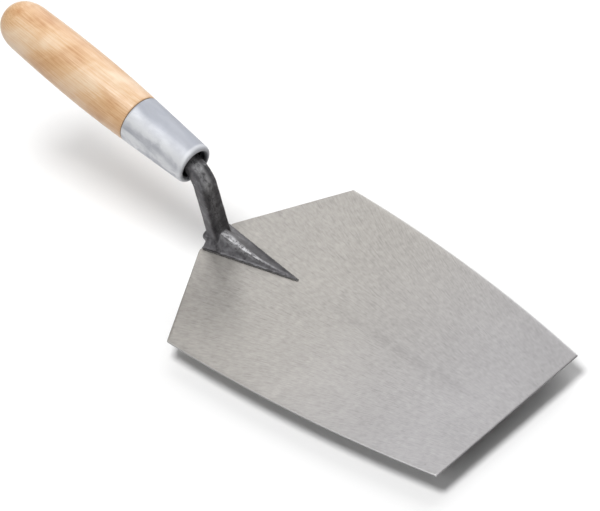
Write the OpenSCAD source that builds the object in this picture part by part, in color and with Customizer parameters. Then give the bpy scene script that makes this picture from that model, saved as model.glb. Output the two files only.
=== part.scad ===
// Brick trowel with a six-sided blade, a forged shank and a turned wooden handle.
// The blade lies flat on z = 0, the toe points along +X and the handle rises towards -X.
// The origin is the middle of the blade's underside.

/* [Blade] */
// Length of the blade from heel edge to toe edge
blade_len = 279.4; // [230:0.1:330]
// Width of the blade across its shoulders
shoulder_w = 174.7; // [140:0.1:210]
// Width of the toe edge
toe_w = 129.8; // [90:0.1:138]
// Width of the short heel edge under the foot
heel_w = 31; // [30:0.5:50]
// Distance from the heel edge to the shoulders
shoulder_x = 45.8; // [35:0.1:70]
// How far each long side bows out from a straight line
side_bow = 5.2; // [2:0.1:9]
// Thickness of the blade at the heel
heel_t = 1.6; // [1.2:0.1:2.4]
// Thickness of the blade at the toe
toe_t = 1.0; // [0.7:0.1:1.1]

/* [Foot] */
// Length of the foot along the blade
foot_len = 78; // [60:1:95]
// Width of the foot at the heel
foot_w = 26.8; // [22:0.1:28]
// Width of the blunt front end of the foot
foot_tip_w = 1.6; // [1:0.1:3]
// Distance of the foot from the heel edge of the blade
heel_set = 0.5; // [0.2:0.1:3]
// Thickness of the foot's flange along its edges, at the heel
flange_t = 1.6; // [1:0.1:3]
// Thickness of the foot at its front end
foot_tip_t = 0.5; // [0.3:0.1:0.9]
// Height of the crest above the flange where it meets the neck
crest_h = 8.6; // [6:0.1:11]
// Width of the crest where it meets the neck
crest_w = 9; // [4:0.1:10]
// How far the crest hollows below a straight line from the neck to the front end
crest_hollow = 1.2; // [0.5:0.1:2]
// Radius of the hollow flanks on each side of the crest
flank_r = 20; // [16:1:40]
// Thickness of the weld under the foot, at the heel
weld_t = 0.4; // [0.3:0.1:1]
// How far the weld shows past the foot's two long edges
weld_lap = 0.6; // [0.3:0.1:1.2]

/* [Neck] */
// Width of the neck across the blade
neck_w = 14.6; // [11:0.1:16]
// Thickness of the neck along the blade
neck_t = 10; // [7:0.1:11]
// Radius of the neck's four long edges
neck_edge_r = 2.5; // [1:0.1:3.2]
// Radius of the bend, on the neck's centre line
bend_r = 18; // [14:0.5:22]
// Height of the corner where the handle's axis meets the upright neck
axis_rise = 66.7; // [50:0.1:90]
// Radius of the round swelling behind the foot of the neck
boss_r = 3.2; // [2:0.1:4]
// Height of the swelling's centre above the flange
boss_rise = 2.7; // [1.5:0.1:5]
// Length of the round swelling across the blade
boss_w = 12; // [6:0.5:14]
// Length of the tang inside the wood
tang_len = 95; // [60:1:110]
// Diameter of the tang where it enters the wood
tang_d = 9; // [6:0.1:10]
// Diameter of the tang at its far end
tang_end_d = 5; // [3:0.1:6]

/* [Ferrule] */
// Length of the ferrule
ferrule_len = 54; // [40:0.1:65]
// Outer diameter of the ferrule at its mouth
mouth_d = 28.8; // [27:0.1:32]
// Outer diameter of the ferrule where it meets the wood
joint_d = 34.8; // [33:0.1:38]
// Thickness of the ferrule's wall
ferrule_wall = 1.2; // [0.8:0.1:2]
// Radius of the rolled lip around the mouth
lip_r = 2; // [1.5:0.1:2.5]
// Distance from the mouth to where the bend ends and the wood begins, inside the ferrule
nose_set = 8.2; // [4:0.1:10]

/* [Handle] */
// Angle between the handle and the blade, in degrees
handle_tilt = 15.1; // [5:0.1:25]
// Length of the bare wood, from the ferrule to the butt
wood_len = 129.3; // [100:0.1:150]
// Largest diameter of the wood
belly_d = 37.8; // [36:0.1:44]
// Distance from the ferrule to the largest diameter
belly_at = 56; // [35:1:65]
// Diameter where the rounded butt begins
butt_d = 35.4; // [32:0.1:36]
// Length of the rounded butt
butt_len = 23; // [14:1:30]
// Roundness of the butt, where 2 is a plain ellipse and more is squarer
butt_power = 2.3; // [2:0.1:4]
// Gap around the tang in its bore
tang_gap = 0.05; // [0.02:0.01:0.1]
// Gap past the far end of the tang
bore_end_gap = 2; // [1:0.5:6]

/* [Hidden] */
// facets on small round parts, on revolved parts and on the very long side arcs
round_fn = 48;
turned_fn = 96;
arc_fn = 1440;

heel_x = -blade_len / 2;
toe_x = blade_len / 2;
shoulder_at = heel_x + shoulder_x;

// each long side is an arc through a shoulder and a toe corner
side_run = toe_x - shoulder_at;
side_drop = (shoulder_w - toe_w) / 2;
side_chord = sqrt(pow(side_run, 2) + pow(side_drop, 2));
side_r = (pow(side_chord, 2) / 4 + pow(side_bow, 2)) / (2 * side_bow);
side_mid = [(shoulder_at + toe_x) / 2, (shoulder_w + toe_w) / 4];
side_normal = [side_drop, side_run] / side_chord;
side_centre = side_mid - side_normal * (side_r - side_bow);

// the heel lines run on past the shoulders, so that the arcs alone trim them
heel_slope = (shoulder_w - heel_w) / 2 / shoulder_x;
trim_half_w = shoulder_w / 2 + 2 * side_bow;
trim_x = heel_x + (trim_half_w - heel_w / 2) / heel_slope;

foot_x = heel_x + heel_set;
foot_tip_x = foot_x + foot_len;
weld_top = heel_t + weld_t;
flange_top = weld_top + flange_t;
foot_angle = atan((foot_w - foot_tip_w) / 2 / foot_len);

// each hollow flank is a cylinder along the foot's edge, through that edge and the crest's
flank_in = (foot_w - crest_w) / 2 * cos(foot_angle);
flank_chord = sqrt(pow(flank_in, 2) + pow(crest_h, 2));
flank_back = sqrt(pow(flank_r, 2) - pow(flank_chord, 2) / 4);
flank_out = flank_back * crest_h / flank_chord - flank_in / 2;
flank_up = flank_back * flank_in / flank_chord + crest_h / 2;
flank_fall = atan((flange_t - foot_tip_t) / foot_len);

// the crest is a wide cylinder across the foot, from the neck's front down to the front end
crest_x = foot_x + neck_t;
crest_top = flange_top + crest_h;
crest_end = weld_top + foot_tip_t;
crest_run = foot_tip_x - crest_x;
crest_drop = crest_top - crest_end;
crest_chord = sqrt(pow(crest_run, 2) + pow(crest_drop, 2));
crest_r = (pow(crest_chord, 2) / 4 + pow(crest_hollow, 2)) / (2 * crest_hollow);
crest_normal = [crest_drop, crest_run] / crest_chord;
crest_mid = [(crest_x + foot_tip_x) / 2, (crest_top + crest_end) / 2];
crest_centre = crest_mid + crest_normal * (crest_r - crest_hollow);

// the neck stands over the foot's heel edge and bends back to the handle's axis
neck_x = foot_x + neck_t / 2;
bend_angle = 90 - handle_tilt;
bend_run = bend_r * tan(bend_angle / 2);
bend_z = axis_rise - bend_run;
mouth_gap = bend_run - nose_set;
mouth_x = neck_x - mouth_gap * cos(handle_tilt);
mouth_z = axis_rise + mouth_gap * sin(handle_tilt);
boss_z = flange_top + boss_rise;

// along the handle, distances run from the mouth towards the butt
tang_root = 2;
belly_s = ferrule_len + belly_at;
handle_end = ferrule_len + wood_len;
butt_s = handle_end - butt_len;
profile_steps = 12;

// radius of the wood at a distance from the mouth: a parabola on each side of the belly
function wood_r(s) =
    s < belly_s
        ? belly_d / 2 - (belly_d - joint_d) / 2 * pow((belly_s - s) / belly_at, 2)
        : belly_d / 2 - (belly_d - butt_d) / 2 * pow((s - belly_s) / (butt_s - belly_s), 2);

// radius of the rounded butt, where t runs from 0 at its start to 1 at the very end
function butt_r(t) = butt_d / 2 * pow(1 - pow(t, butt_power), 1 / butt_power);

// outer radius of the ferrule at a distance from the mouth
function ferrule_r(s) = mouth_d / 2 + (joint_d - mouth_d) / 2 * s / ferrule_len;

module rounded_section(across, along, edge_r) {
    square([across - 2 * edge_r, along], center = true);
    square([across, along - 2 * edge_r], center = true);
    for (sx = [-1, 1], sy = [-1, 1])
        translate([sx * (across / 2 - edge_r), sy * (along / 2 - edge_r)])
            circle(r = edge_r, $fn = round_fn);
}

// puts its children on the handle's axis, with z running from the mouth to the butt
module along_handle() {
    translate([mouth_x, 0, mouth_z])
        rotate([0, -bend_angle, 0])
            children();
}

module blade_outline() {
    intersection() {
        polygon([
            [heel_x, -heel_w / 2], [trim_x, -trim_half_w], [toe_x, -trim_half_w],
            [toe_x, trim_half_w], [trim_x, trim_half_w], [heel_x, heel_w / 2]
        ]);
        translate(side_centre)
            circle(r = side_r, $fn = arc_fn);
        mirror([0, 1])
            translate(side_centre)
                circle(r = side_r, $fn = arc_fn);
    }
}

// a flat underside and a top that falls evenly from the heel to the toe
module blade_solid() {
    intersection() {
        linear_extrude(heel_t)
            blade_outline();
        rotate([90, 0, 0])
            linear_extrude(2 * trim_half_w, center = true)
                polygon([[heel_x, 0], [toe_x, 0], [toe_x, toe_t], [heel_x, heel_t]]);
    }
}

module foot_outline(lap) {
    polygon([
        [foot_x, -foot_w / 2 - lap], [foot_tip_x + lap, -foot_tip_w / 2 - lap],
        [foot_tip_x + lap, foot_tip_w / 2 + lap], [foot_x, foot_w / 2 + lap]
    ]);
}

module flank_cutter() {
    translate([foot_x, foot_w / 2, flange_top])
        rotate([0, flank_fall, -foot_angle])
            translate([0, flank_out, flank_up])
                rotate([0, 90, 0])
                    cylinder(r = flank_r, h = 3 * foot_len, center = true, $fn = arc_fn);
}

module crest_cutter() {
    translate([crest_centre[0], 0, crest_centre[1]])
        rotate([90, 0, 0])
            cylinder(r = crest_r, h = 2 * foot_w, center = true, $fn = arc_fn);
}

module foot() {
    difference() {
        translate([0, 0, weld_top])
            linear_extrude(flange_t + crest_h)
                foot_outline(0);
        crest_cutter();
        flank_cutter();
        mirror([0, 1, 0])
            flank_cutter();
    }
}

module neck() {
    translate([neck_x, 0, weld_top])
        linear_extrude(bend_z - weld_top)
            rounded_section(neck_t, neck_w, neck_edge_r);
    translate([neck_x - bend_r, 0, bend_z])
        rotate([90, 0, 0])
            rotate_extrude(angle = bend_angle, $fn = turned_fn)
                translate([bend_r, 0])
                    rounded_section(neck_t, neck_w, neck_edge_r);
}

// the tang's taper starts a little way inside the bend, so that the two are one solid
module tang(gap, reach) {
    translate([0, 0, nose_set - tang_root])
        cylinder(d1 = tang_d + 2 * gap, d2 = tang_end_d + 2 * gap, h = reach + tang_root, $fn = round_fn);
}

module blade() {
    color("#b4b0ab")
        blade_solid();
}

module weld_bead() {
    color("#6a6765")
        difference() {
            linear_extrude(weld_top)
                foot_outline(weld_lap);
            blade_solid();
        }
}

module shank() {
    color("#55545a") {
        foot();
        neck();
        translate([foot_x, 0, boss_z])
            rotate([90, 0, 0])
                cylinder(r = boss_r, h = boss_w, center = true, $fn = round_fn);
        along_handle()
            tang(0, tang_len);
    }
}

module ferrule() {
    color("#c9cdd6")
        along_handle()
            difference() {
                union() {
                    translate([0, 0, lip_r])
                        cylinder(r1 = ferrule_r(lip_r), r2 = ferrule_r(ferrule_len),
                                 h = ferrule_len - lip_r, $fn = turned_fn);
                    rotate_extrude($fn = turned_fn)
                        translate([mouth_d / 2 - lip_r, lip_r])
                            circle(r = lip_r, $fn = round_fn);
                }
                translate([0, 0, lip_r])
                    cylinder(r1 = ferrule_r(lip_r) - ferrule_wall,
                             r2 = ferrule_r(ferrule_len) - ferrule_wall,
                             h = ferrule_len - lip_r, $fn = turned_fn);
            }
}

module handle() {
    nose_r1 = ferrule_r(nose_set) - ferrule_wall;
    nose_r2 = ferrule_r(ferrule_len) - ferrule_wall;
    curve = [for (i = [0 : 2 * profile_steps - 1])
        let (s = ferrule_len + (butt_s - ferrule_len) * i / (2 * profile_steps)) [wood_r(s), s]];
    dome = [for (i = [0 : profile_steps])
        let (t = sin(90 * i / profile_steps)) [butt_r(t), butt_s + butt_len * t]];
    color("#d8b07c")
        along_handle()
            difference() {
                rotate_extrude($fn = turned_fn)
                    polygon(concat([[0, nose_set], [nose_r1, nose_set], [nose_r2, ferrule_len]],
                                   curve, dome));
                tang(tang_gap, tang_len + bore_end_gap);
            }
}

blade();
weld_bead();
shank();
ferrule();
handle();
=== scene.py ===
import bpy
import bmesh
import numpy as np
from mathutils import Matrix, Vector


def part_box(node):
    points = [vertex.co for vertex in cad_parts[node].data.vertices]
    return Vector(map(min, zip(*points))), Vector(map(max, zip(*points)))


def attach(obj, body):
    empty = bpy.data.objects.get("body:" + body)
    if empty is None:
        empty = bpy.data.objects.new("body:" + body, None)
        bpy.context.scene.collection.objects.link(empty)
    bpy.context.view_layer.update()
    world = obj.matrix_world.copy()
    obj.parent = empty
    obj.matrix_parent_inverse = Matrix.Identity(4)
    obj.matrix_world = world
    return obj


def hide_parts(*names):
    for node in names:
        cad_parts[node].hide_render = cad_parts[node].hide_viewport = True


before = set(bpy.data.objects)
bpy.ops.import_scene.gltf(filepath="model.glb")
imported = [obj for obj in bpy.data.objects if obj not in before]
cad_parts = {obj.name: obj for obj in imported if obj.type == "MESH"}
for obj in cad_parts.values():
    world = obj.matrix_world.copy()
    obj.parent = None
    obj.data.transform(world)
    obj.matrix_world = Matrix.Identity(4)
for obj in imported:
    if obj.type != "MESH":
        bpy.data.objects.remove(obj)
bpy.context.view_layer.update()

mm = 0.001


# wraps a shader socket, so that sums on values read as sums
class Value:
    def __init__(self, material, socket):
        self.material, self.socket = material, socket

    def maths(self, operation, *others):
        return self.material.node("ShaderNodeMath", {"operation": operation}, {
            slot: value for slot, value in enumerate((self,) + others)})[0]

    def __add__(self, other):
        return self.maths("ADD", other)

    def __radd__(self, other):
        return self.maths("ADD", other)

    def __sub__(self, other):
        return self.maths("SUBTRACT", other)

    def __rsub__(self, other):
        return self.material.node("ShaderNodeMath", {"operation": "SUBTRACT"}, {
            0: other, 1: self})[0]

    def __mul__(self, other):
        return self.maths("MULTIPLY", other)

    def __rmul__(self, other):
        return self.maths("MULTIPLY", other)

    def __truediv__(self, other):
        return self.maths("DIVIDE", other)

    def __pow__(self, other):
        return self.maths("POWER", other)

    def __abs__(self):
        return self.maths("ABSOLUTE")

    def between(self, low, high):  # 0 below low, 1 above high, smooth in between
        return self.material.node("ShaderNodeMapRange", {"interpolation_type": "SMOOTHSTEP"}, {
            "Value": self, "From Min": low, "From Max": high})[0]

    def clipped(self):
        return self.maths("MINIMUM", 1.0).maths("MAXIMUM", 0.0)

    def wave(self):
        return self.maths("SINE")

    def exponent(self):
        return self.maths("EXPONENT")


class Material:
    def __init__(self, name):
        self.data = bpy.data.materials.new(name)
        self.data.use_nodes = True
        self.tree = self.data.node_tree
        self.shader = self.tree.nodes["Principled BSDF"]
        self.count = 0

    # one way to add any node: its settings first, then the values or links of its sockets
    def node(self, kind, settings, inputs):
        made = self.tree.nodes.new(kind)
        made.location = (-260 * (1 + self.count // 8), 300 - 170 * (self.count % 8))
        self.count += 1
        for key, value in settings.items():
            if key == "stops":
                ramp = made.color_ramp
                while len(ramp.elements) < len(value):
                    ramp.elements.new(0.5)
                for element, (place, colour) in zip(ramp.elements, value):
                    element.position, element.color = place, (*colour, 1)
            else:
                setattr(made, key, value)
        for key, value in inputs.items():
            socket = made.inputs[key]
            if isinstance(value, Value):
                self.tree.links.new(value.socket, socket)
            elif value is not None:
                socket.default_value = value
        return [Value(self, socket) for socket in made.outputs]

    def place(self, location=(0, 0, 0), rotation=(0, 0, 0)):  # object coordinates, moved and turned
        point = self.node("ShaderNodeTexCoord", {}, {})[3]
        return self.node("ShaderNodeMapping", {}, {
            "Vector": point, "Location": location, "Rotation": rotation})[0]

    def split(self, point):
        return self.node("ShaderNodeSeparateXYZ", {}, {0: point})

    def join(self, x, y, z):
        return self.node("ShaderNodeCombineXYZ", {}, {0: x, 1: y, 2: z})[0]

    def noise(self, point, scale, detail=3.0, roughness=0.5, warp=0.0):
        return self.node("ShaderNodeTexNoise", {}, {
            "Vector": point, "Scale": scale, "Detail": detail, "Roughness": roughness,
            "Distortion": warp})[0]

    def cells(self, point, scale):
        return self.node("ShaderNodeTexVoronoi", {}, {"Vector": point, "Scale": scale})[0]

    def colours(self, factor, stops):
        return self.node("ShaderNodeValToRGB", {"stops": stops}, {0: factor})[0]

    def blend(self, factor, first, second, kind="MIX"):
        return self.node("ShaderNodeMix", {"data_type": "RGBA", "blend_type": kind}, {
            0: factor, 6: rgba(first), 7: rgba(second)})[2]

    def bump(self, height, strength, distance):
        return self.node("ShaderNodeBump", {}, {
            "Height": height, "Strength": strength, "Distance": distance})[0]

    def finish(self, **sockets):
        for key, value in sockets.items():
            socket = self.shader.inputs[key.replace("_", " ")]
            if isinstance(value, Value):
                self.tree.links.new(value.socket, socket)
            else:
                socket.default_value = value
        return self.data


def rgba(colour):  # a plain colour gets its alpha, and a value passes through
    return (*colour, 1) if isinstance(colour, tuple) else colour


# every shape is an array of rings: rings[i, j] is a point
def ringMesh(name, rings, closeLong=False):
    # quads between neighbouring rings, then a fan from each end ring's middle, or with
    # closeLong quads from the last ring back to the first
    rows, cols = rings.shape[:2]
    points = rings.reshape(-1, 3)
    index = np.arange(rows * cols).reshape(rows, cols)
    lower = index if closeLong else index[:-1]
    upper = np.roll(index, -1, axis=0) if closeLong else index[1:]
    quads = np.stack([lower, np.roll(lower, -1, axis=1),
                      np.roll(upper, -1, axis=1), upper], axis=-1)
    faces = quads.reshape(-1, 4).tolist()
    for ring in [] if closeLong else [index[0], index[-1]]:
        middle = len(points)
        points = np.vstack([points, points[ring].mean(axis=0)])
        fan = np.stack([ring, np.roll(ring, -1), np.full(cols, middle)], axis=-1)
        faces += fan.tolist()
    mesh = bpy.data.meshes.new(name)
    mesh.from_pydata(points.tolist(), [], faces)
    cleanMesh(mesh)
    return mesh


def cleanMesh(mesh):
    work = bmesh.new()
    work.from_mesh(mesh)
    bmesh.ops.remove_doubles(work, verts=work.verts, dist=1e-6)
    bmesh.ops.recalc_face_normals(work, faces=work.faces)
    work.to_mesh(mesh)
    work.free()


def addPiece(name, mesh, node, material):
    piece = bpy.data.objects.new(name, mesh)
    bpy.context.scene.collection.objects.link(piece)
    mesh.materials.clear()
    mesh.materials.append(material)
    mesh.polygons.foreach_set("use_smooth", np.ones(len(mesh.polygons), dtype=bool))
    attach(piece, "root")
    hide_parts(node)
    print(name, len(mesh.polygons), "faces")


def lathe(profile, steps, wobble):
    # each profile point (r, s) goes round the handle's axis:
    # mouth + s along + r (cos a across + sin a up), with the wobble added to r off the axis
    angle = np.linspace(0, 2 * np.pi, steps, endpoint=False)
    r, s = profile[:, 0][:, None], profile[:, 1][:, None]
    r = r + wobble(angle[None, :], s) * (r > 1e-5)
    across, up = r * np.cos(angle), r * np.sin(angle)
    return (mouth + s[..., None] * alongHandle + across[..., None] * acrossHandle
            + up[..., None] * upHandle)


def curveUp(x, power):  # superellipse helper: sign(x) |x|^power
    return np.sign(x) * np.abs(x) ** power


def softLeast(a, b, size):  # smooth minimum of two arrays
    blend = np.clip(0.5 + 0.5 * (b - a) / size, 0, 1)
    return b + (a - b) * blend - size * blend * (1 - blend)


# the whole tool's layout, as in the CAD part
layout = {
    "heelX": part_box("blade")[0][0],          # heel edge of the blade
    "toeX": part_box("blade")[1][0],           # toe edge
    "heelThick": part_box("blade")[1][2],
    "toeThick": 1.0 * mm,
    "heelSet": 0.5 * mm,                     # foot back from the heel edge
    "weldThick": 0.4 * mm,
    "tilt": np.radians(15.1),                # handle above the blade
    "axisRise": 66.7 * mm,                   # where the neck's line meets the handle's axis
    "neckThick": 10.0 * mm,
    "bendRadius": 18.0 * mm,
    "noseSet": 8.2 * mm,                     # wood begins this far inside the mouth
}
footX = layout["heelX"] + layout["heelSet"]
weldTop = layout["heelThick"] + layout["weldThick"]
bendAngle = np.pi / 2 - layout["tilt"]
bendRun = layout["bendRadius"] * np.tan(bendAngle / 2)
neckX = footX + layout["neckThick"] / 2
bendZ = layout["axisRise"] - bendRun
alongHandle = np.array([-np.cos(layout["tilt"]), 0, np.sin(layout["tilt"])])
acrossHandle = np.array([0.0, 1.0, 0.0])
upHandle = np.cross(alongHandle, acrossHandle)
mouth = np.array([neckX, 0, layout["axisRise"]]) + alongHandle * (bendRun - layout["noseSet"])

# handle materials work in (up, across, along) axes with the mouth at the origin
toHandle = Matrix([list(-upHandle), list(acrossHandle), list(alongHandle)])
handleTurn = tuple(toHandle.to_euler())
handleMove = tuple(toHandle @ Vector(-mouth))


view = {
    "azimuth": np.radians(56.997),
    "elevation": np.radians(42.805),
    "roll": np.radians(-15.234),
    "distance": 3.03166,
    "aim": np.array([-96.865, 33.519, -19.074]) * mm,
    "lens": 270.0,
    "sensor": 36.0,
}


def addCamera():
    # back = from the aim towards the camera, then right and up are turned about it by the roll
    a, e, roll = view["azimuth"], view["elevation"], view["roll"]
    back = np.array([np.sin(a) * np.cos(e), -np.cos(a) * np.cos(e), np.sin(e)])
    level = np.cross([0, 0, 1], back)
    level = level / np.linalg.norm(level)
    rise = np.cross(back, level)
    right = np.cos(roll) * level + np.sin(roll) * rise
    up = -np.sin(roll) * level + np.cos(roll) * rise
    data = bpy.data.cameras.new("camera")
    data.lens, data.sensor_width, data.sensor_fit = view["lens"], view["sensor"], "HORIZONTAL"
    data.clip_start, data.clip_end = 0.1, 20.0
    camera = bpy.data.objects.new("camera", data)
    place = view["aim"] + back * view["distance"]
    turn = Matrix([[right[i], up[i], back[i]] for i in range(3)]).to_4x4()
    camera.matrix_world = Matrix.Translation(Vector(place)) @ turn
    bpy.context.scene.collection.objects.link(camera)
    bpy.context.scene.camera = camera


studio = {
    "worldColour": (1.0, 1.0, 1.0),
    "worldStrength": 0.14,
    "floorDrop": 15 * mm,         # the trowel's own edge shadow shows against a floor just below it
    "floorColour": (0.9, 0.9, 0.9),
    "floorRough": 0.9,
    "floorSheen": 0.1,
    "floorHalf": 6.0,             # half the floor's side
    "lights": {
        # name: (place, size, power)
        "overhead": ((-0.06, -0.20, 1.6), 0.74, 20.0),
        "back": ((-0.9, 1.7, 1.15), 2.5, 36.0),
        "front": ((0.45, -1.5, 1.1), 1.2, 6.5),
    },
}


def addStudio():
    world = bpy.data.worlds.new("studio")
    bpy.context.scene.world = world
    world.use_nodes = True
    bpy.context.scene.view_settings.view_transform = "Standard"   # keeps the white floor white
    backdrop = world.node_tree.nodes["Background"]
    backdrop.inputs["Color"].default_value = rgba(studio["worldColour"])
    backdrop.inputs["Strength"].default_value = studio["worldStrength"]
    for name, (place, size, power) in studio["lights"].items():
        data = bpy.data.lights.new(name, "AREA")
        data.shape, data.size, data.energy = "DISK", size, power
        light = bpy.data.objects.new(name, data)
        light.location = place
        light.rotation_euler = (-Vector(place)).to_track_quat("-Z", "Y").to_euler()
        bpy.context.scene.collection.objects.link(light)
    half = studio["floorHalf"]
    mesh = bpy.data.meshes.new("floor")
    mesh.from_pydata([(-half, -half, 0), (half, -half, 0), (half, half, 0), (-half, half, 0)],
                     [], [(0, 1, 2, 3)])
    floor = bpy.data.objects.new("floor", mesh)
    floor.location.z = -studio["floorDrop"]
    paint = Material("floorPaint")
    paint.finish(Base_Color=rgba(studio["floorColour"]), Roughness=studio["floorRough"],
                 Specular_IOR_Level=studio["floorSheen"])
    mesh.materials.append(paint.data)
    bpy.context.scene.collection.objects.link(floor)


addCamera()
addStudio()
print("camera and studio ready")


blade = {
    "shoulderWide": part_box("blade")[1][1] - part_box("blade")[0][1],
    "toeWide": 129.8 * mm,
    "heelWide": 31.0 * mm,
    "shoulderAt": 45.8 * mm,
    "sideBow": 5.2 * mm,
    "cornerSoft": 0.9 * mm,       # how much the shoulder corners are rounded
    "cornerReach": 6 * mm,        # rings lie closer together this near a shoulder
    "edgeSoft": 0.42,             # rounding of the edges, as a share of the thickness
    "endSoft": 0.3 * mm,          # bevel of the heel and toe edges
    "burnish": (0.60, 0.60, 0.60),
    "burnishWide": 1.1 * mm,
    "streakLength": 6 * mm,
    "streakWidth": 1.0 * mm,
    "scratchLength": 16 * mm,
    "scratchWidth": 0.8 * mm,
    "finerLength": 4 * mm,
    "finerWidth": 0.5 * mm,
    "streakFan": 5.5,             # how fast the grinding marks fan out, per metre
    "steelDark": (0.230, 0.220, 0.207),
    "steelLight": (0.505, 0.483, 0.455),
    "coolTint": (0.965, 0.985, 1.06),
    "rust": (0.12, 0.105, 0.09),
    "cutEdge": (0.16, 0.155, 0.15),
    "roughness": 0.5,
    "metallic": 0.72,
}


def longSideArc():
    # centre and radius of the circle that runs through the shoulder and the toe corner and
    # bulges by sideBow: radius = (chord^2 / 4 + bow^2) / (2 bow)
    shoulderX = layout["heelX"] + blade["shoulderAt"]
    run = layout["toeX"] - shoulderX
    drop = (blade["shoulderWide"] - blade["toeWide"]) / 2
    chord = np.hypot(run, drop)
    radius = (chord ** 2 / 4 + blade["sideBow"] ** 2) / (2 * blade["sideBow"])
    back = radius - blade["sideBow"]
    centreX = (shoulderX + layout["toeX"]) / 2 - back * drop / chord
    centreY = (blade["shoulderWide"] + blade["toeWide"]) / 4 - back * run / chord
    return centreX, centreY, radius


def bladeHalfWidth(x):
    # heel lines open at an even rate, then the long side's circle takes over: the smooth
    # minimum of heel / 2 + slope (x - heelX) and centreY + sqrt(radius^2 - (x - centreX)^2)
    centreX, centreY, radius = longSideArc()
    slope = (blade["shoulderWide"] - blade["heelWide"]) / 2 / blade["shoulderAt"]
    line = blade["heelWide"] / 2 + slope * (x - layout["heelX"])
    arc = centreY + np.sqrt(radius ** 2 - (x - centreX) ** 2)
    return softLeast(line, arc, blade["cornerSoft"])


def bladeRings():
    # each ring is the blade's cross-section at one x: a flat top and underside joined by
    # round edges, with the thickness falling evenly from the heel to the toe
    shoulderX = layout["heelX"] + blade["shoulderAt"]
    ease = np.linspace(-1, 1, 41) ** 3 * blade["cornerReach"]
    x = np.unique(np.concatenate([
        np.linspace(layout["heelX"], shoulderX, 40), shoulderX + ease,
        np.linspace(shoulderX, layout["toeX"], 110)]))
    share = (x - layout["heelX"]) / (layout["toeX"] - layout["heelX"])
    thick = layout["heelThick"] + (layout["toeThick"] - layout["heelThick"]) * share
    half = bladeHalfWidth(x)
    inset = np.concatenate([[blade["endSoft"]], np.zeros(len(x)), [blade["endSoft"]]])
    x = np.concatenate([x[:1], x, x[-1:]])
    x[1] += blade["endSoft"]
    x[-2] -= blade["endSoft"]
    half = np.concatenate([half[:1], half, half[-1:]]) - inset
    thick = np.concatenate([thick[:1], thick, thick[-1:]])
    soft = thick * blade["edgeSoft"]
    across = np.linspace(-1, 1, 45)
    corner = np.linspace(np.pi / 2, -np.pi / 2, 9)[1:-1]
    one = np.ones_like(across)
    flat = half - soft
    top = np.stack([flat[:, None] * across, (thick - inset)[:, None] * one], axis=-1)
    right = np.stack([flat[:, None] + soft[:, None] * np.cos(corner),
                      (thick / 2)[:, None] + (thick / 2 - inset)[:, None] * np.sin(corner)],
                     axis=-1)
    under = np.stack([-flat[:, None] * across, inset[:, None] * one], axis=-1)
    left = right[:, ::-1] * np.array([-1, 1])
    loop = np.concatenate([top, right, under, left], axis=1)
    rows, cols = loop.shape[:2]
    return np.concatenate([np.broadcast_to(x[:, None, None], (rows, cols, 1)), loop], axis=2)


def bladeSteel():
    steel = Material("bladeSteel")
    place = steel.place()
    x, y, z = steel.split(place)
    fanned = y * (x * blade["streakFan"]).exponent()

    def drawnOut(kind, detail, roughness, warp=0.0):  # marks stretched along the grinding
        long, wide = blade[kind + "Length"], blade[kind + "Width"]
        return steel.noise(steel.join(x / long, fanned / wide, z * 0), 1.0, detail, roughness, warp)

    streaks = drawnOut("streak", 2.0, 0.55)
    finer = drawnOut("finer", 2.0, 0.6)
    clouds = steel.noise(place, 14.0, 3.0, 0.5, 0.4)
    small = steel.noise(place, 260.0, 2.0, 0.5)
    scratches = drawnOut("scratch", 1.0, 0.5, 0.15).between(0.58, 0.66)
    marks = scratches * -0.2 + (streaks - 0.5) * 0.95 + (finer - 0.5) * 0.8 + (small - 0.5) * 0.6
    # painted shade: the steel is darker towards the toe and the far long side and lighter towards the
    # heel; the middle line ahead of the foot is a little darker
    shade = 0.51 - x * 0.7 - y * 1.1 + (clouds - 0.5) * 0.4 + marks * 0.62
    middle = 1 - abs(y + x * 0.02).between(0.6 * mm, 5.5 * mm)
    ahead = x.between(-50 * mm, 0.0) * (1 - x.between(90 * mm, 130 * mm))
    shade = shade - middle * ahead * 0.09
    colour = steel.colours(shade.clipped(), [
        (0.0, blade["steelDark"]), (1.0, blade["steelLight"])])
    # the steel is a little cooler towards the toe
    cool = x.between(-60 * mm, 130 * mm)
    colour = steel.blend(cool, colour, steel.blend(1.0, colour, blade["coolTint"], "MULTIPLY"))
    # a few dark specks left by rust or scale
    specks = 1 - steel.cells(place, 34.0).between(0.018, 0.05)
    rare = steel.noise(place, 21.0, 1.0).between(0.54, 0.58)
    colour = steel.blend((specks * rare * 0.55).clipped(), colour, blade["rust"])
    # the long edges are burnished: distance in from the long side's arc
    edgeMiddleX, edgeMiddleY, edgeRadius = longSideArc()
    offX, offY = x - edgeMiddleX, abs(y) - edgeMiddleY
    inward = edgeRadius - (offX * offX + offY * offY) ** 0.5
    burnished = 1 - inward.between(blade["burnishWide"] * 0.4, blade["burnishWide"])
    colour = steel.blend((burnished * 0.45).clipped(), colour, blade["burnish"])
    # cut edges are darker than the ground faces
    side = 1 - z.between(0.1 * mm, 0.6 * mm)
    colour = steel.blend((side * 0.35).clipped(), colour, blade["cutEdge"])
    rough = (blade["roughness"] + marks * 0.1 + (clouds - 0.5) * 0.12).clipped()
    height = streaks * 0.6 + finer * 0.5 + small * 0.15
    return steel.finish(Base_Color=colour, Roughness=rough, Metallic=blade["metallic"],
                        Normal=steel.bump(height, 0.35, 0.12 * mm))


addPiece("steelBlade", ringMesh("steelBlade", bladeRings()), "blade",
         bladeSteel())


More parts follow.
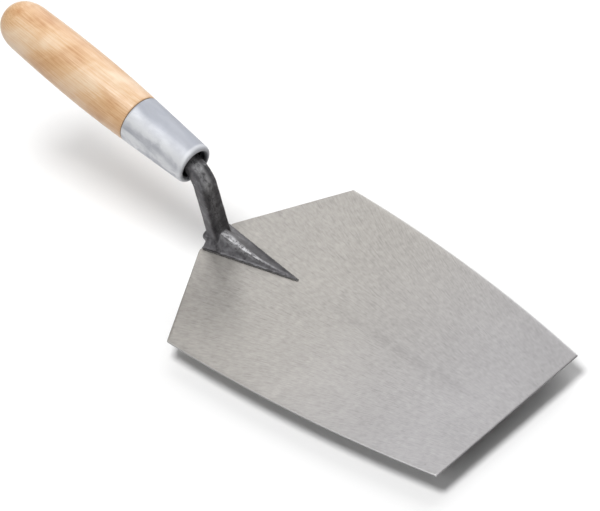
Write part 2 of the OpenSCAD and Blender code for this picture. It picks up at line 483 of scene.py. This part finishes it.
# foot, neck and tang are forged as one
shank = {
    "footLong": 76.8 * mm,
    "footWide": 26.8 * mm,
    "footTipWide": 1.0 * mm,
    "footTurn": np.radians(3.2),  # the foot sits a little askew on the blade
    "flangeThick": 1.6 * mm,
    "tipThick": 0.5 * mm,
    "crestHigh": 8.6 * mm,
    "crestWide": 9.0 * mm,
    "crestHollow": 1.2 * mm,
    "flankRadius": 20.0 * mm,
    "neckWide": 14.0 * mm,
    "tangLong": 95.0 * mm,
    "tangWide": 9.0 * mm,
    "tangEndWide": 5.0 * mm,
    "bossRadius": 4.0 * mm,
    "bossWide": 18.6 * mm,
    "bossRise": 3.9 * mm,
    "ridgeSkew": 0.42,            # how far the ridge leaves the middle towards the tip
    "lipWide": 1.2 * mm,          # flat ledge round the foot before its flanks rise
    "ragged": 0.16 * mm,          # unevenness of the foot's long edges
    "dent": 0.10 * mm,            # depth of the hammer marks on the foot
    "flare": 1.0 * mm,            # how much the neck widens into the foot
    "forgeVoxel": 0.38 * mm,      # the joined shapes are skinned at this size
    "forgeSmooth": 2,
    "scaleDark": (0.036, 0.034, 0.037),
    "scaleMid": (0.125, 0.121, 0.128),
    "scaleLight": (0.28, 0.28, 0.295),
    # this pale colour serves the rubbed spots and crest, and the painted highlights on the crest and
    # the bend
    "wearAndHighlight": (0.52, 0.52, 0.53),
    "metallic": 0.6,
}


def flankHeight(depth):
    # height of the hollow flank at a depth in from its edge: an arc through the edge and the
    # crest's edge, so height = outZ - sqrt(radius^2 - (depth - outX)^2)
    inward = (shank["footWide"] - shank["crestWide"]) / 2 - shank["lipWide"]
    depth = np.clip(depth - shank["lipWide"], 0, None)
    rise = shank["crestHigh"]
    chord = np.hypot(inward, rise)
    back = np.sqrt(shank["flankRadius"] ** 2 - chord ** 2 / 4)
    outX, outZ = inward / 2 - back * rise / chord, rise / 2 + back * inward / chord
    reach = np.clip(shank["flankRadius"] ** 2 - (depth - outX) ** 2, 0, None)
    return outZ - np.sqrt(reach)


def askew(points):
    # turns points about the neck's upright line by the foot's small angle
    turn = shank["footTurn"]
    x, y = points[..., 0] - neckX, points[..., 1]
    turned = points.copy()
    turned[..., 0] = neckX + x * np.cos(turn) - y * np.sin(turn)
    turned[..., 1] = x * np.sin(turn) + y * np.cos(turn)
    return turned


def footRings():
    # cross-sections along the foot, flat underneath: the top is the smooth minimum of the two
    # flanks and of the crest, which sags below a straight line by 4 hollow u (1 - u)
    share = np.concatenate([[0.0], np.linspace(0.0, 1.0, 150)])
    x = footX + shank["footLong"] * share
    half = (shank["footWide"] + (shank["footTipWide"] - shank["footWide"]) * share) / 2
    ragged = shank["ragged"] * (np.sin(x * 900) + np.sin(x * 1630 + 1.1) * 0.7)
    across = np.linspace(-1, 1, 61)
    y = (half + ragged)[:, None] * across
    skew = shank["ridgeSkew"] * np.clip(share * 2.4 - 0.35, 0, 1)[:, None]
    near = flankHeight((half[:, None] + y) * (1 + skew))
    far = flankHeight((half[:, None] - y) * (1 - skew))
    flange = shank["flangeThick"] + (shank["tipThick"] - shank["flangeThick"]) * share
    crestRun = shank["footLong"] - layout["neckThick"]
    u = np.clip((x - footX - layout["neckThick"]) / crestRun, 0, 1)
    crest = (shank["flangeThick"] + shank["crestHigh"]) * (1 - u) + shank["tipThick"] * u
    crest = crest - 4 * shank["crestHollow"] * u * (1 - u)
    flanks = flange[:, None] + softLeast(near, far, 0.3 * mm)
    top = softLeast(flanks, crest[:, None] + 0 * y, 0.5 * mm)
    dents = shank["dent"] * np.sin(x[:, None] * 420 + y * 700) * np.sin(y * 520 - x[:, None] * 260)
    top = weldTop + np.maximum(top + dents, 0.3 * mm)
    bottom = np.full_like(top, weldTop)
    over, under = np.stack([y, top], axis=-1), np.stack([y, bottom], axis=-1)[:, ::-1]
    loop = np.concatenate([over, under], axis=1)
    rows, cols = loop.shape[:2]
    long = np.broadcast_to(x[:, None, None], (rows, cols, 1))
    return askew(np.concatenate([long, loop], axis=2))


def shankRings():
    # a rounded section carried up the neck, round the bend and along the tapering tang: the
    # superellipse (thick cos^p, wide sin^p), whose p grows to 1, a plain ellipse, on the tang
    bendLong = layout["bendRadius"] * bendAngle
    upright = bendZ - weldTop
    total = upright + bendLong + shank["tangLong"]
    s = np.concatenate([np.linspace(0, upright + bendLong, 150),
                        np.linspace(upright + bendLong, total, 60)[1:]])
    turn = np.clip((s - upright) / layout["bendRadius"], 0, bendAngle)
    along = np.clip(s - upright - bendLong, 0, None)
    straight = np.minimum(s, upright)
    x = neckX - layout["bendRadius"] * (1 - np.cos(turn)) + alongHandle[0] * along
    z = weldTop + straight + layout["bendRadius"] * np.sin(turn) + alongHandle[2] * along
    toTang = np.clip(along / (1.5 * mm), 0, 1)
    narrowing = (shank["tangEndWide"] - shank["tangWide"]) * along / shank["tangLong"]
    tangHalf = (shank["tangWide"] + narrowing) / 2
    flare = shank["flare"] * np.exp(-s / (6 * mm))
    swell = 0.12 * mm * np.sin(s * 210 + 0.6) + 0.06 * mm * np.sin(s * 530)
    thick = (layout["neckThick"] / 2 + swell) * (1 - toTang) + tangHalf * toTang
    wide = (shank["neckWide"] / 2 + flare - swell * 0.6) * (1 - toTang) + tangHalf * toTang
    # square at the foot, rounder in the bend
    crisp = 7.0 - 3.4 * np.clip(turn / bendAngle * 1.6, 0, 1)
    power = (2 / crisp) * (1 - toTang) + toTang
    angle = np.linspace(0, 2 * np.pi, 72, endpoint=False)
    out = thick[:, None] * curveUp(np.cos(angle)[None, :], power[:, None])
    side = wide[:, None] * curveUp(np.sin(angle)[None, :], power[:, None])
    dents = 1 + 0.012 * np.sin(angle * 3 + s[:, None] * 300) * np.sin(s[:, None] * 190)
    px = x[:, None] + out * dents * np.cos(turn)[:, None]
    pz = z[:, None] + out * dents * np.sin(turn)[:, None]
    return np.stack([px, side * dents, pz], axis=-1)


def bossRings():
    # a ball behind the foot of the neck, stretched across the blade: latitude rings whose
    # radius is bossRadius sqrt(cos latitude), so that it is fuller than a plain ellipsoid
    lat = np.linspace(-np.pi / 2, np.pi / 2, 25)[1:-1]
    lon = np.linspace(0, 2 * np.pi, 40, endpoint=False)
    swell = np.cos(lat) ** 0.5
    y = shank["bossWide"] / 2 * np.sin(lat)
    x = footX + shank["bossRadius"] * swell[:, None] * np.cos(lon)
    middle = weldTop + shank["flangeThick"] + shank["bossRise"]
    z = middle + shank["bossRadius"] * swell[:, None] * np.sin(lon)
    return np.stack([x, np.broadcast_to(y[:, None], x.shape), z], axis=-1)


def forgedMesh():
    # the three closed shapes are skinned together, so that the neck runs into the foot as
    # forged metal does
    work = bmesh.new()
    for name, rings in (("foot", footRings()), ("neck", shankRings()), ("boss", bossRings())):
        piece = ringMesh(name, rings)
        work.from_mesh(piece)
        bpy.data.meshes.remove(piece)
    joined = bpy.data.meshes.new("joined")
    work.to_mesh(joined)
    work.free()
    helper = bpy.data.objects.new("forgeHelper", joined)
    bpy.context.scene.collection.objects.link(helper)
    skin = helper.modifiers.new("skin", "REMESH")
    skin.mode, skin.voxel_size = "VOXEL", shank["forgeVoxel"]
    smooth = helper.modifiers.new("smooth", "SMOOTH")
    smooth.factor, smooth.iterations = 0.5, shank["forgeSmooth"]
    bpy.context.view_layer.update()
    seen = helper.evaluated_get(bpy.context.evaluated_depsgraph_get())
    mesh = bpy.data.meshes.new_from_object(seen)
    bpy.data.objects.remove(helper)
    bpy.data.meshes.remove(joined)
    mesh.name = "forgedShank"
    return mesh


def forgedScale():
    scale = Material("forgedScale")
    place = scale.place()
    x, y, z = scale.split(place)
    patches = scale.noise(place, 130.0, 5.0, 0.62, 0.6)
    grain = scale.noise(place, 900.0, 4.0, 0.6)
    pits = scale.cells(place, 620.0)
    tone = (patches - 0.5) * 1.7 + (grain - 0.5) * 0.55 + 0.42
    colour = scale.colours(tone.clipped(), [
        (0.0, shank["scaleDark"]), (0.5, shank["scaleMid"]), (1.0, shank["scaleLight"])])
    # side is the distance from the ridge: painted shade darkens the far flank, and painted light makes
    # the near flank pale in patches
    side = y - (x - neckX) * np.tan(shank["footTurn"])
    along = (x - footX) / shank["footLong"]
    side = side + along * (1 - along) * (9.2 * mm)
    onFoot = 1 - z.between(weldTop + 9 * mm, weldTop + 12 * mm)
    pastNeck = x.between(footX + 14 * mm, footX + 30 * mm)
    shadedFarFlank = side.between(0.8 * mm, 2.2 * mm) * pastNeck * onFoot
    litNearFlank = (1 - side.between(-3.5 * mm, -1.5 * mm)) * onFoot
    colour = scale.blend((shadedFarFlank * 0.7).clipped(), colour, shank["scaleDark"])
    nearFlankLight = litNearFlank * 0.4 * patches.between(0.3, 0.6)
    colour = scale.blend(nearFlankLight.clipped(), colour, shank["scaleLight"])
    # the crest of the foot is rubbed bright in broken streaks: worn metal together with a painted
    # highlight
    lift = z - (weldTop + 0.6 * mm)
    crestHere = 1 - (abs(side) / (1.3 - along)).between(0.4 * mm, 3.6 * mm)
    fading = 1 - x.between(footX + 26 * mm, footX + 62 * mm)
    ahead = x.between(footX + 9 * mm, footX + 12 * mm) * fading
    broken = scale.noise(scale.join(x * 0.6, y * 1.6, z), 420.0, 3.0, 0.7).between(0.36, 0.60)
    wearAndHighlight = crestHere * ahead * lift.between(0.0, 1.2 * mm) * broken
    # the neck's near side is darker low down, just above the foot
    nearSide = (1 - y.between(-7.2 * mm, -6.4 * mm)) * z.between(12 * mm, 16 * mm)
    colour = scale.blend((nearSide * 0.25).clipped(), colour, shank["scaleDark"])
    # a few rubbed spots on the neck and the bend, and a painted highlight along the top of the bend
    spots = scale.noise(place, 240.0, 2.0, 0.6, 0.3).between(0.66, 0.74)
    spots = spots * z.between(20 * mm, 50 * mm) * 0.5
    bendHighlight = scale.noise(scale.join(x, y, z * 0.5), 300.0, 3.0, 0.65).between(0.30, 0.60)
    bendHighlight = bendHighlight * z.between(46 * mm, 58 * mm)
    bendHighlight = bendHighlight * (1 - abs(y + 1 * mm).between(1 * mm, 5 * mm)) * 0.8
    colour = scale.blend((wearAndHighlight + spots + bendHighlight).clipped(), colour, shank["wearAndHighlight"])
    rough = (0.52 - wearAndHighlight * 0.14 + (grain - 0.5) * 0.3).clipped()
    height = patches * 0.8 + grain * 0.35 + pits * 0.25
    return scale.finish(Base_Color=colour, Roughness=rough, Metallic=shank["metallic"],
                        Normal=scale.bump(height, 0.6, 0.45 * mm))


addPiece("forgedShank", forgedMesh(), "shank", forgedScale())


weld = {
    "radius": 0.62 * mm,
    "ripple": 0.16 * mm,
    "rippleStep": 1.9 * mm,
    "heelStart": 0.7 * mm,        # the bead starts this far in from the foot's heel edge
    "tipReach": 0.5 * mm,         # and runs this far past its tip
    "endTaper": 1.5 * mm,
    "seat": 0.25 * mm,            # height of its middle above the blade
    "colourDark": (0.035, 0.034, 0.035),
    "colourLight": (0.17, 0.165, 0.16),
    "metallic": 0.5,
}


def weldRings():
    # a round bead along the foot's outline: its radius is radius + ripple times a sum of two
    # sines along the way, and it narrows at both ends
    w, t = shank["footWide"] / 2, shank["footTipWide"] / 2
    start, tip = footX + weld["heelStart"], footX + shank["footLong"]
    corners = np.array([
        [start, -w], [tip, -t], [tip + weld["tipReach"], 0], [tip, t], [start, w]])
    step = np.diff(corners, axis=0)
    length = np.concatenate([[0], np.cumsum(np.hypot(step[:, 0], step[:, 1]))])
    s = np.linspace(0, length[-1], 620)
    px, py = np.interp(s, length, corners[:, 0]), np.interp(s, length, corners[:, 1])
    tx, ty = np.gradient(px, s), np.gradient(py, s)
    size = np.hypot(tx, ty)
    nx, ny = ty / size, -tx / size
    ends = np.clip(np.minimum(s, length[-1] - s) / weld["endTaper"], 0.15, 1) ** 0.5
    ripple = np.sin(2 * np.pi * s / weld["rippleStep"]) + 0.6 * np.sin(s * 1210 + 0.4)
    radius = ends * (weld["radius"] + weld["ripple"] * ripple * 0.6)
    angle = np.linspace(0, 2 * np.pi, 12, endpoint=False)
    out = radius[:, None] * np.cos(angle) * 0.9
    lift = radius[:, None] * np.sin(angle)
    share = (px - layout["heelX"]) / (layout["toeX"] - layout["heelX"])
    seat = layout["heelThick"] + (layout["toeThick"] - layout["heelThick"]) * share
    return askew(np.stack([px[:, None] + out * nx[:, None], py[:, None] + out * ny[:, None],
                           seat[:, None] + weld["seat"] + lift * 0.8], axis=-1))


def weldScale():
    bead = Material("weldScale")
    place = bead.place()
    tone = bead.noise(place, 420.0, 4.0, 0.6)
    grain = bead.noise(place, 1500.0, 3.0, 0.6)
    colour = bead.colours((tone * 1.3 - 0.15).clipped(), [
        (0.0, weld["colourDark"]), (1.0, weld["colourLight"])])
    rough = (0.5 + (grain - 0.5) * 0.3).clipped()
    return bead.finish(Base_Color=colour, Roughness=rough, Metallic=weld["metallic"],
                       Normal=bead.bump(tone * 0.7 + grain * 0.4, 0.5, 0.2 * mm))


addPiece("weldBead", ringMesh("weldBead", weldRings()), "weld_bead",
         weldScale())


ferrule = {
    "long": 54.0 * mm,
    "mouthWide": 28.8 * mm,
    "jointWide": 34.8 * mm,
    "wall": 1.2 * mm,
    "lip": 2.0 * mm,
    "rimSoft": 0.35 * mm,         # bevel of the rim at the wood
    "dent": 0.06 * mm,
    "metalDark": (0.43, 0.445, 0.485),
    "metalLight": (0.71, 0.72, 0.74),
    "metalShade": (0.33, 0.345, 0.39),
    # inside is the painted shade colour of the mouth and of the gap round the neck
    "inside": (0.03, 0.03, 0.032),
    "metallic": 0.5,
}


def ferruleRadius(s):  # outer radius, which grows evenly from the mouth to the joint
    opened = (ferrule["jointWide"] - ferrule["mouthWide"]) * s / ferrule["long"]
    return (ferrule["mouthWide"] + opened) / 2


def ferruleRings():
    # a closed wall profile: down the outside, round the rolled lip and back along the inside
    lip, wall, end = ferrule["lip"], ferrule["wall"], ferrule["long"]
    s = np.linspace(end - ferrule["rimSoft"], lip, 50)
    outside = np.stack([ferruleRadius(s), s], axis=1)
    turn = np.radians(np.linspace(0, 250, 30))
    ringR = ferrule["mouthWide"] / 2 - lip
    roll = np.stack([ringR + lip * np.cos(turn), lip - lip * np.sin(turn)], axis=1)[1:]
    s = np.linspace(lip * 1.9, end - 0.3 * mm, 30)
    inside = np.stack([ferruleRadius(s) - wall, s], axis=1)
    rim = np.array([[ferruleRadius(end) - wall + 0.1 * mm, end],
                    [ferruleRadius(end) - ferrule["rimSoft"], end]])
    profile = np.concatenate([outside, roll, inside, rim])

    def wobble(angle, s):
        waves = np.sin(angle * 2 + s * 90) * 0.6 + np.sin(angle * 5 - s * 160) * 0.25
        return ferrule["dent"] * waves

    return lathe(profile, 144, wobble)


def ferruleMetal():
    metal = Material("ferruleMetal")
    up, across, along = metal.split(metal.place(handleMove, handleTurn))
    point = metal.join(up, across, along)
    # soft cloudy bands that run along the drawn cap, and a fine satin grain
    bands = metal.noise(metal.join(up * 1.6, across * 1.6, along * 0.45), 75.0, 3.0, 0.55, 0.5)
    clouds = metal.noise(point, 60.0, 4.0, 0.6, 0.3)
    satin = metal.noise(metal.join(up * 4, across * 4, along * 0.35), 900.0, 2.0, 0.5)
    flecks = metal.noise(point, 520.0, 3.0, 0.6)
    tone = 0.62 + (bands - 0.5) * 3.4 + (clouds - 0.5) * 3.0 + (satin - 0.5) * 0.6
    colour = metal.colours(tone.clipped(), [
        (0.0, ferrule["metalDark"]), (1.0, ferrule["metalLight"])])
    # painted shade: the far upper side is darkened, and a narrow band on the near lower side is a
    # painted dark reflection
    farSide = up * 0.44 + across * 0.90 + (clouds - 0.5) * (12 * mm)
    band = (farSide + 11 * mm).between(0.0, 2.5 * mm)
    band = band * (1 - (farSide + 7.5 * mm).between(0.0, 3 * mm))
    ferruleShade = farSide.between(-6 * mm, 8.5 * mm) * 0.85 + band * 0.25
    colour = metal.blend(ferruleShade.clipped(), colour, ferrule["metalShade"])
    # painted shade: dark inside the mouth and down between the wall and the neck
    radius = (up * up + across * across) ** 0.5
    holeR = ferrule["mouthWide"] / 2 - 1.65 * ferrule["lip"]
    inner = 1 - radius.between(holeR, holeR + 1.2 * mm)
    inner = inner * (1 - along.between(20 * mm, 21 * mm))
    gapShade = along.between(2 * mm, 4.2 * mm) * (1 - radius.between(12.6 * mm, 13 * mm))
    colour = metal.blend((inner * 0.5 + gapShade).clipped(), colour, ferrule["inside"])
    # painted highlight: the rolled lip is lightened
    lipHighlight = (1 - along.between(2.8 * mm, 4.8 * mm)) * (1 - inner) * (1 - gapShade)
    colour = metal.blend((lipHighlight * 0.5).clipped(), colour, ferrule["metalLight"])
    rough = (0.62 + (clouds - 0.5) * 0.3 + (flecks - 0.5) * 0.15).clipped()
    height = satin * 0.4 + flecks * 0.3 + bands * 0.8
    return metal.finish(Base_Color=colour, Roughness=rough, Metallic=ferrule["metallic"],
                        Normal=metal.bump(height, 0.18, 0.2 * mm))


addPiece("drawnFerrule", ringMesh("drawnFerrule", ferruleRings(), closeLong=True), "ferrule",
         ferruleMetal())


handle = {
    "woodLong": 129.3 * mm,
    "bellyWide": 37.8 * mm,
    "bellyAt": 56.0 * mm,
    "buttWide": 35.4 * mm,
    "buttLong": 23.0 * mm,
    "buttPower": 2.3,
    "boreSpare": 0.05 * mm,
    "boreEndSpare": 2 * mm,       # the bore runs on past the tang
    "fitGap": 0.02 * mm,          # between the nose and the ferrule
    "shoulderSoft": 0.35 * mm,
    "outOfRound": 0.05 * mm,
    "waverRise": 8 * mm,          # the waver grows over this length, from none at the ferrule
    "woodPale": (0.80, 0.64, 0.47),
    "woodMid": (0.665, 0.43, 0.24),
    "woodDark": (0.49, 0.245, 0.10),
    "figureShift": 1.5,           # slides the pale bands along the handle
    "boreShade": (0.05, 0.035, 0.02),
    "coat": 0.2,                  # thin clear varnish
    "coatRough": 0.3,
}


def handleRings():
    # the turned outline: bore, nose, two parabolas about the belly, and a butt whose radius is
    # buttWide / 2 (1 - t^power)^(1 / power)
    end = ferrule["long"] + handle["woodLong"]
    buttS = end - handle["buttLong"]
    bellyS = ferrule["long"] + handle["bellyAt"]
    nose = layout["noseSet"]
    boreEnd = nose + shank["tangLong"] + handle["boreEndSpare"]
    bore = np.array([[0, boreEnd], [shank["tangEndWide"] / 2 + handle["boreSpare"], boreEnd],
                     [shank["tangWide"] / 2 + handle["boreSpare"], nose]])
    tight = ferrule["wall"] + handle["fitGap"]
    inner = np.array([[ferruleRadius(nose) - tight, nose],
                      [ferruleRadius(ferrule["long"]) - tight, ferrule["long"]]])
    s = np.linspace(ferrule["long"] + handle["fitGap"], buttS, 70)
    before = (handle["bellyWide"] - ferrule["jointWide"]) / 2 * ((bellyS - s) / handle["bellyAt"]) ** 2
    after = (handle["bellyWide"] - handle["buttWide"]) / 2 * ((s - bellyS) / (buttS - bellyS)) ** 2
    curve = np.stack([handle["bellyWide"] / 2 - np.where(s < bellyS, before, after), s], axis=1)
    curve[0] -= [handle["shoulderSoft"], 0]
    t = np.sin(np.linspace(0, np.pi / 2, 40))[1:]
    fall = (1 - t ** handle["buttPower"]) ** (1 / handle["buttPower"])
    butt = np.stack([handle["buttWide"] / 2 * fall, buttS + handle["buttLong"] * t], axis=1)
    profile = np.concatenate([bore, inner, curve, butt])

    def wobble(angle, s):
        bare = np.clip((s - ferrule["long"]) / handle["waverRise"], 0, 1)
        waves = np.sin(angle * 2 + s * 40) + 0.4 * np.sin(angle * 3 - s * 70)
        return bare * handle["outOfRound"] * waves

    return lathe(profile, 128, wobble)


def handleWood():
    wood = Material("handleWood")
    up, across, along = wood.split(wood.place(handleMove, handleTurn))
    # the grain: long fibres that wander a little, over broad growth figure
    drift = wood.noise(wood.join(up * 0.8, across * 0.8, along * 0.22), 40.0, 2.0, 0.5)
    sideways = up * 0.84 + across * 0.54 + (drift - 0.5) * (3 * mm)
    rings = ((sideways + along * 0.035) * 3900.0 + (drift - 0.5) * 5.0).wave() * 0.5 + 0.5
    fibres = wood.noise(wood.join(up * 5.4, across * 5.4, along * 0.2), 260.0, 4.0, 0.7)
    streaks = wood.noise(wood.join(up * 3, across * 3, along * 0.14), 210.0, 3.0, 0.6)
    # curly figure: soft bands that cross the grain
    crossing = wood.join(up * 0.7, across * 0.7, along * 1.7 + sideways * 1.1)
    curly = wood.noise(crossing, 40.0, 2.0, 0.5, 0.35)
    slanted = along + across * 0.9 + (drift - 0.5) * (50 * mm)
    figure = (slanted * 118.0 + handle["figureShift"]).wave()
    patches = wood.noise(wood.join(up, across, along * 0.5), 34.0, 3.0, 0.55, 0.6)
    pores = wood.noise(wood.join(up * 12, across * 12, along * 0.7), 330.0, 2.0, 0.5)
    pores = pores.between(0.64, 0.74)
    # paler towards the butt
    tone = (0.49 + (rings - 0.5) * 0.13 + (fibres - 0.5) * 0.95 + (streaks - 0.5) * 0.5
            + (curly - 0.5) * 0.9 + (patches - 0.5) * 1.5 + figure * 0.17
            + (110 * mm - along) * 1.2)
    colour = wood.colours(tone.clipped(), [
        (0.0, handle["woodPale"]), (0.55, handle["woodMid"]), (1.0, handle["woodDark"])])
    colour = wood.blend((pores * 0.25).clipped(), colour, handle["woodDark"])
    # painted shade: the far upper side is darkened, and the near lower side a little
    reach = up * 0.44 + across * 0.90 + (patches - 0.5) * (10 * mm)
    woodShade = reach.between(6 * mm, 18 * mm) * 0.32
    woodShade = woodShade + (1 - reach.between(-17 * mm, -3 * mm)) * 0.22
    colour = wood.blend(woodShade.clipped(), colour, handle["woodDark"])
    # a fine dark line where the wood meets the ferrule, and shade on the hidden nose
    joint = 1 - abs(along - ferrule["long"]).between(0.2 * mm, 0.8 * mm)
    nose = 1 - along.between(30 * mm, 32 * mm)
    colour = wood.blend((joint * 0.75 + nose).clipped(), colour, handle["boreShade"])
    rough = (0.44 + (fibres - 0.5) * 0.16 + (streaks - 0.5) * 0.1).clipped()
    height = fibres * 0.5 + pores * -0.6 + rings * 0.12
    return wood.finish(Base_Color=colour, Roughness=rough, Coat_Weight=handle["coat"],
                       Coat_Roughness=handle["coatRough"],
                       Normal=wood.bump(height, 0.22, 0.15 * mm))


addPiece("woodHandle", ringMesh("woodHandle", handleRings()), "handle",
         handleWood())
